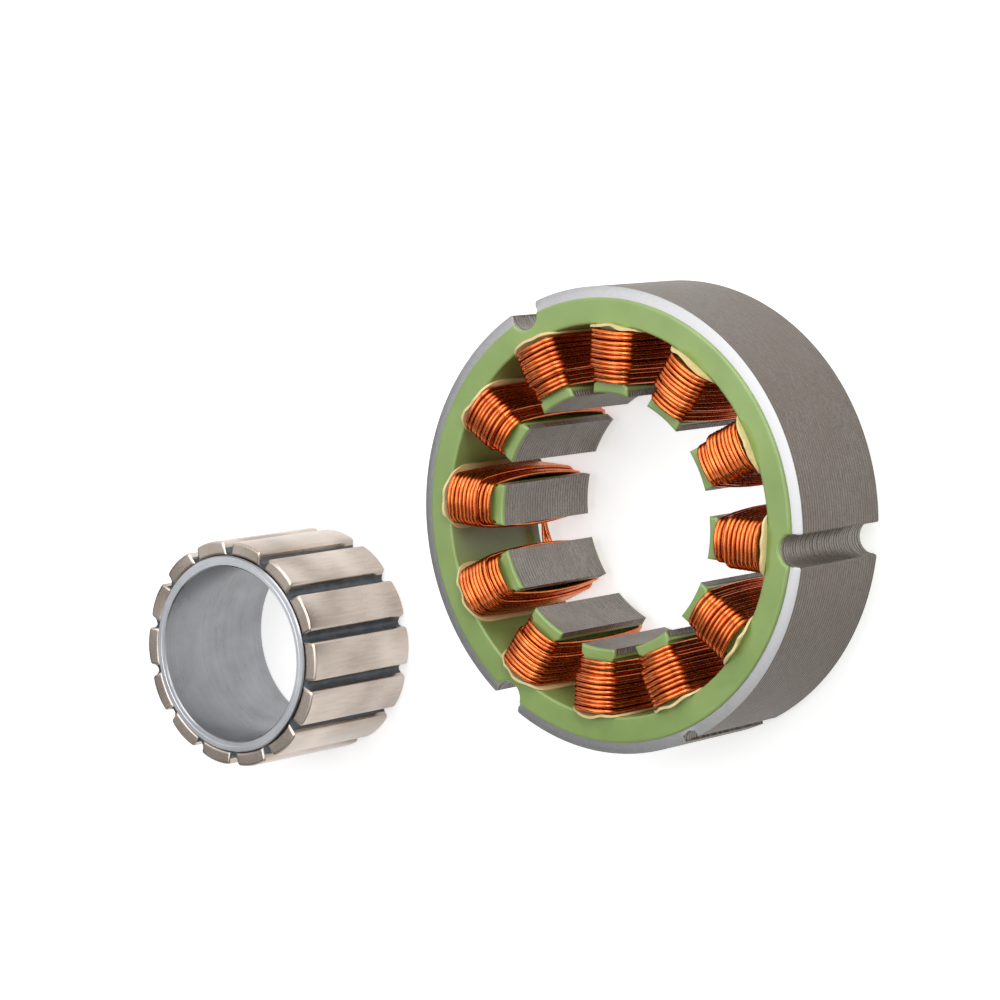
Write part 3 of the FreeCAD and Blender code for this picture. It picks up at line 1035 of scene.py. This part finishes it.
make_core()
make_coat()
for n in range(1, TEETH + 1):
    make_coil(n)
    make_paper(n)
for n in range(1, TEETH // 2 + 1):
    make_links(n)
make_ring()
for n in range(1, MAGNETS + 1):
    make_magnet(n)
make_glue()


# Camera: the photograph's view of the stator, from a fit to its edges

VIEW_RIGHT = Vector((0.6978, -0.3548, -0.6223))
VIEW_UP = Vector((0.3877, 0.9175, -0.0884))
VIEW_BACK = Vector((0.6023, -0.1796, 0.7778))
CAMERA_PLACE = Vector((257.73, -72.41, 358.79)) * MM
FOCAL_PX = 3700.0
FRAME_PX = 1000.0
SENSOR_MM = 36.0

# Studio

OBJECT_MIDDLE = (-18.0, 2.0, 0.0)
STATOR_MIDDLE = (0.0, 0.0, 0.0)
WHITE = (1.0, 1.0, 1.0, 1.0)
FLOOR_GREY = (0.8, 0.8, 0.8, 1.0)
FLOOR_HALF = 3000.0
FLOOR_GAP = 0.02
FLOOR_GLOW = 0.62
FLOOR_LIT = 200.0
FLOOR_FAR = 400.0
WORLD_FILL = 0.2


def view_vector(right, up, back):
    """A direction given in the camera's own axes: right, up and back towards the camera."""
    return VIEW_RIGHT * right + VIEW_UP * up + VIEW_BACK * back


def add_camera():
    """The camera, in the place that the fit gives."""
    data = bpy.data.cameras.new("camera")
    data.sensor_fit = "HORIZONTAL"
    data.sensor_width = SENSOR_MM
    data.lens = FOCAL_PX / FRAME_PX * SENSOR_MM
    data.clip_start = 0.01
    data.clip_end = 10.0
    camera = bpy.data.objects.new("camera", data)
    bpy.context.scene.collection.objects.link(camera)
    back = VIEW_BACK.normalized()
    right = VIEW_UP.cross(back).normalized()
    up = back.cross(right)
    turn = Matrix((right, up, back)).transposed().to_4x4()
    camera.matrix_world = Matrix.Translation(CAMERA_PLACE) @ turn
    bpy.context.scene.camera = camera


def studio_place(aim, direction, distance):
    """Where a lamp or card stands, and how it is turned to face what it aims at."""
    away = view_vector(*direction).normalized() * distance * MM
    return Vector(aim) * MM + away, away.to_track_quat("Z", "Y")


def add_lamp(name, direction, distance, size, power):
    """An area lamp, placed by a direction in the camera's own axes and aimed at the object."""
    data = bpy.data.lights.new(name, "AREA")
    data.shape = "RECTANGLE"
    data.size = size[0] * MM
    data.size_y = size[1] * MM
    data.energy = power
    lamp = bpy.data.objects.new(name, data)
    bpy.context.scene.collection.objects.link(lamp)
    place, turn = studio_place(OBJECT_MIDDLE, direction, distance)
    lamp.location = place
    lamp.rotation_euler = turn.to_euler()


def add_card(name, direction, distance, size, grey, aim=OBJECT_MIDDLE):
    """A grey card that only reflections see: it paints a dark reflection on glossy surfaces, and neither
    casts a shadow nor shows itself to the camera.
    """
    place, turn = studio_place(aim, direction, distance)
    half_w = size[0] / 2 * MM
    half_h = size[1] / 2 * MM
    corners = [(-half_w, -half_h, 0), (half_w, -half_h, 0), (half_w, half_h, 0), (-half_w, half_h, 0)]
    mesh = bpy.data.meshes.new(name)
    mesh.from_pydata([place + turn @ Vector(corner) for corner in corners], [], [(0, 1, 2, 3)])
    card = bpy.data.objects.new(name, mesh)
    bpy.context.scene.collection.objects.link(card)
    material, _, _ = shader(name, Base_Color=(grey, grey, grey, 1.0), Roughness=1.0)
    mesh.materials.append(material)
    card.visible_camera = False
    card.visible_diffuse = False
    card.visible_transmission = False
    card.visible_shadow = False


def background_rays(tree):
    """Two sockets: one for all rays that see the background white, and one for the camera's rays alone."""
    rays = node(tree, "ShaderNodeLightPath")
    mirrored_rays = maths(tree, "MAXIMUM", rays.outputs["Is Glossy Ray"], rays.outputs["Is Transmission Ray"])
    return maths(tree, "MAXIMUM", rays.outputs["Is Camera Ray"], mirrored_rays), rays.outputs["Is Camera Ray"]


def add_floor():
    """A floor that keeps the object's shadow, and that the camera sees white where the lamps don't reach."""
    mesh = bpy.data.meshes.new("floor")
    z = (FLOOR_Z - FLOOR_GAP) * MM
    half = FLOOR_HALF * MM
    corners = [(-half, -half, z), (half, -half, z), (half, half, z), (-half, half, z)]
    mesh.from_pydata(corners, [], [(0, 1, 2, 3)])
    floor = bpy.data.objects.new("floor", mesh)
    bpy.context.scene.collection.objects.link(floor)
    material = bpy.data.materials.new("floor")
    material.use_nodes = True
    tree = material.node_tree
    tree.nodes.clear()
    out = node(tree, "ShaderNodeOutputMaterial")
    seen, by_camera = background_rays(tree)
    reach = length(tree, object_coordinates(tree))
    far = maths(tree, "MULTIPLY", spread(tree, reach, 0.0, 1.0, FLOOR_LIT * MM, FLOOR_FAR * MM), by_camera)
    strength = maths(tree, "MAXIMUM", maths(tree, "MULTIPLY", seen, FLOOR_GLOW), far)
    paint = node(tree, "ShaderNodeBsdfDiffuse", {"Color": FLOOR_GREY})
    glow = node(tree, "ShaderNodeEmission", {"Color": WHITE, "Strength": strength})
    both = node(tree, "ShaderNodeAddShader", {0: paint.outputs[0], 1: glow.outputs[0]})
    tree.links.new(both.outputs[0], out.inputs["Surface"])
    mesh.materials.append(material)


def add_world():
    """Dim even light on the object, in front of a white background."""
    world = bpy.data.worlds.new("studio")
    world.use_nodes = True
    tree = world.node_tree
    tree.nodes.clear()
    out = node(tree, "ShaderNodeOutputWorld")
    fill = node(tree, "ShaderNodeBackground", {"Color": WHITE, "Strength": WORLD_FILL})
    white = node(tree, "ShaderNodeBackground", {"Color": WHITE, "Strength": 1.0})
    seen, _ = background_rays(tree)
    choice = node(tree, "ShaderNodeMixShader", {0: seen, 1: fill.outputs[0], 2: white.outputs[0]})
    tree.links.new(choice.outputs[0], out.inputs["Surface"])
    bpy.context.scene.world = world


add_camera()
add_world()
add_floor()
add_lamp("key", (-0.1, 1.0, 0.7), distance=280, size=(220, 180), power=0.34)
add_lamp("front", (0.25, 0.35, 1.0), distance=450, size=(160, 160), power=0.5)
add_lamp("side", (1.0, -0.6, 1.1), distance=450, size=(120, 120), power=0.28)
add_lamp("above", (-0.70, 0.1, 0.70), distance=420, size=(340, 340), power=0.86)
# Cards seen only in reflections: painted dark reflections on the glossy surfaces
add_card("card_low", (0.3, -1.0, 0.45), distance=220, size=(400, 220), grey=0.05)
add_card("card_left", (-1.0, -0.62, 0.15), distance=250, size=(160, 240), grey=0.3)
add_card("card_back", (-0.95, -0.05, -0.34), distance=250, size=(150, 150), grey=0.25, aim=STATOR_MIDDLE)
add_card("card_right", (1.0, -0.35, 0.6), distance=300, size=(120, 300), grey=0.05)

bpy.context.scene.view_settings.view_transform = "Standard"
